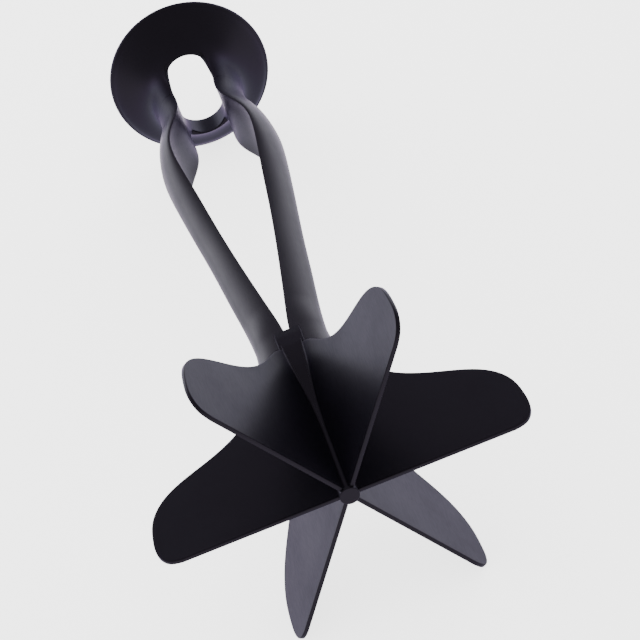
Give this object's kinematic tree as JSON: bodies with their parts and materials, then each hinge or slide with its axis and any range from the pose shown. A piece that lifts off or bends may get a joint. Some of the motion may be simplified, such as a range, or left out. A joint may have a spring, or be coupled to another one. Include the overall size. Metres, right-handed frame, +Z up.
{
  "type": "boat anchor",
  "caption": "Small-boat anchor with radial star flukes on a tapered crown, a split shank of two bowed arms and a bell-mouthed rope eye, coated black.",
  "frame": {"origin": "centre of the bounding box's bottom face, on the floor the anchor lies on", "axes": "+Y runs from the crown towards the eye, nearly along the shank, +X to the right fluke, +Z up from the floor"},
  "size_m": [0.2446, 0.5808, 0.2088],
  "materials": {
    "coating": "satin black coat over cast steel",
    "weld": "satin black coat over weld metal"
  },
  "bodies": {
    "root": {"crown_button": "coating", "crown_core": "coating", "eye_bell": "coating", "eye_weld_left": "weld", "eye_weld_right": "weld", "fluke_1": "coating", "fluke_2": "coating", "fluke_3": "coating", "fluke_4": "coating", "fluke_5": "coating", "fluke_6": "coating", "fluke_weld_1": "weld", "fluke_weld_2": "weld", "fluke_weld_3": "weld", "fluke_weld_4": "weld", "fluke_weld_5": "weld", "fluke_weld_6": "weld", "root_weld_left": "weld", "root_weld_right": "weld", "shank_arm_left": "coating", "shank_arm_right": "coating"}
  },
  "joints": []
}
